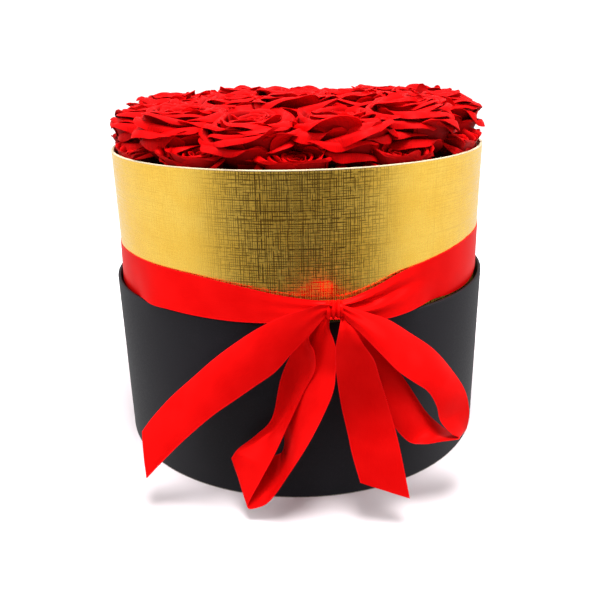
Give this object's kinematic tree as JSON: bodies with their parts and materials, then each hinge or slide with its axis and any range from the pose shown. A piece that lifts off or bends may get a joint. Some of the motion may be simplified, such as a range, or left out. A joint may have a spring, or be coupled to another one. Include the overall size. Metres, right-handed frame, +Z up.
{
  "type": "flower box",
  "caption": "Round card flower box: black base, gold embossed collar, red satin ribbon tied in a bow, and a lift-out foam insert packed with red rose heads.",
  "frame": {"origin": "centre of the base's underside, on the axis of the tubes", "axes": "+Z up along the tubes' axis; the bow faces -Y; +X is to the right seen from the bow"},
  "size_m": [0.25, 0.2784, 0.222],
  "materials": {
    "black_card": "matte",
    "grey_board": "matte",
    "gold_card": "satin",
    "red_satin": "satin",
    "floral_foam": "matte",
    "rose_petal": "matte"
  },
  "bodies": {
    "box": {"base_tube": "black_card", "base_floor": "grey_board", "collar_tube": "gold_card", "ribbon_band": "red_satin", "bow_knot": "red_satin", "bow_loop_left": "red_satin", "bow_loop_right": "red_satin", "bow_tail_left": "red_satin", "bow_tail_right": "red_satin"},
    "insert": {"foam_block": "floral_foam", "rose_centre": "rose_petal", "rose_inner_01": "rose_petal", "rose_inner_02": "rose_petal", "rose_inner_03": "rose_petal", "rose_inner_04": "rose_petal", "rose_inner_05": "rose_petal", "rose_inner_06": "rose_petal", "rose_outer_01": "rose_petal", "rose_outer_02": "rose_petal", "rose_outer_03": "rose_petal", "rose_outer_04": "rose_petal", "rose_outer_05": "rose_petal", "rose_outer_06": "rose_petal", "rose_outer_07": "rose_petal", "rose_outer_08": "rose_petal", "rose_outer_09": "rose_petal", "rose_outer_10": "rose_petal", "rose_outer_11": "rose_petal", "rose_outer_12": "rose_petal", "rose_rim_01": "rose_petal", "rose_rim_02": "rose_petal", "rose_rim_03": "rose_petal", "rose_rim_04": "rose_petal", "rose_rim_05": "rose_petal", "rose_rim_06": "rose_petal", "rose_rim_07": "rose_petal", "rose_rim_08": "rose_petal", "rose_rim_09": "rose_petal", "rose_rim_10": "rose_petal", "rose_rim_11": "rose_petal", "rose_rim_12": "rose_petal"}
  },
  "joints": [
    {"name": "insert_lift", "type": "slide", "parent": "box", "child": "insert", "axis": [0, 0, 1], "range_m": [0, 0.195]}
  ]
}
